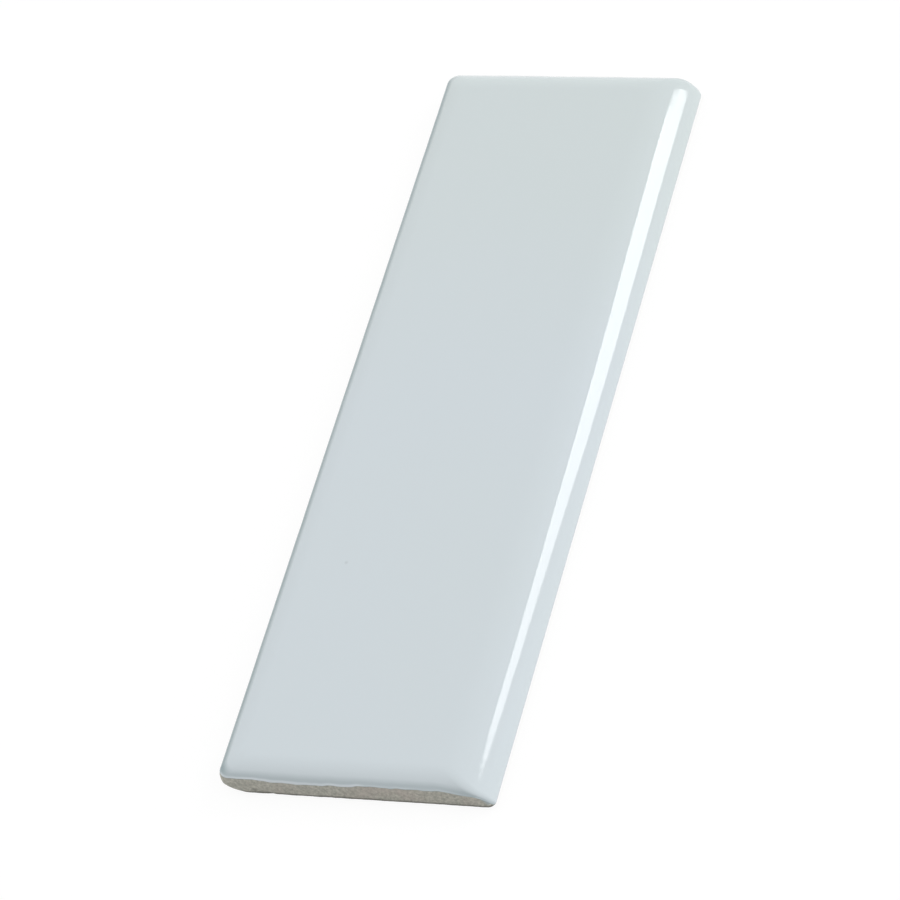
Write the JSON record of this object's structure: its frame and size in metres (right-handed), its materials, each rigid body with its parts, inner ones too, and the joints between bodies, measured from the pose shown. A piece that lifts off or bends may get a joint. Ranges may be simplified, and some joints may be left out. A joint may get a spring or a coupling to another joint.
{
  "type": "bullnose tile",
  "caption": "Glazed ceramic wall trim tile with one long side rolled over to a bullnose, cushioned other edges and a keyed back.",
  "frame": {"origin": "middle of the back, on the plane that the tile is bedded on", "axes": "+Z out of the glazed face, +Y along the length, +X towards the bullnose side"},
  "size_m": [0.0458, 0.1524, 0.0055],
  "materials": {
    "white_glaze": "gloss"
  },
  "bodies": {
    "root": {"bullnose_tile": "white_glaze"}
  },
  "joints": []
}
